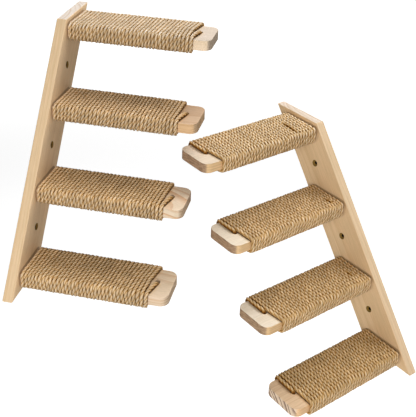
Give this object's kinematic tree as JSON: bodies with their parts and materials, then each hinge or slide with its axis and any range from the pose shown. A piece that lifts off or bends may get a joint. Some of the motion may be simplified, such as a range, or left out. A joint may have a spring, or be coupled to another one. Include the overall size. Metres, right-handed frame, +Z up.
{
  "type": "cat climbing wall ladder",
  "caption": "Pair of wall-mounted cat ladders: slanted pine backboards with level step planks wound in jute rope, in mirror image.",
  "frame": {"origin": "middle of the left ladder's top wall hole, in the plane of that ladder's wall", "axes": "+X straight out of the left ladder's wall, +Y level along it towards the side the ladder leans to, +Z up"},
  "size_m": [0.6968, 0.4679, 0.5544],
  "materials": {
    "pine": "bare sanded pine",
    "jute": "coarse twisted jute rope",
    "screw_steel": "zinc plated"
  },
  "bodies": {
    "root": {"left_backboard": "pine", "left_step_1_plank": "pine", "left_step_1_rope": "jute", "left_step_1_screws": "screw_steel", "left_step_2_plank": "pine", "left_step_2_rope": "jute", "left_step_2_screws": "screw_steel", "left_step_3_plank": "pine", "left_step_3_rope": "jute", "left_step_3_screws": "screw_steel", "left_step_4_plank": "pine", "left_step_4_rope": "jute", "left_step_4_screws": "screw_steel", "right_backboard": "pine", "right_step_1_plank": "pine", "right_step_1_rope": "jute", "right_step_1_screws": "screw_steel", "right_step_2_plank": "pine", "right_step_2_rope": "jute", "right_step_2_screws": "screw_steel", "right_step_3_plank": "pine", "right_step_3_rope": "jute", "right_step_3_screws": "screw_steel", "right_step_4_plank": "pine", "right_step_4_rope": "jute", "right_step_4_screws": "screw_steel"}
  },
  "joints": []
}
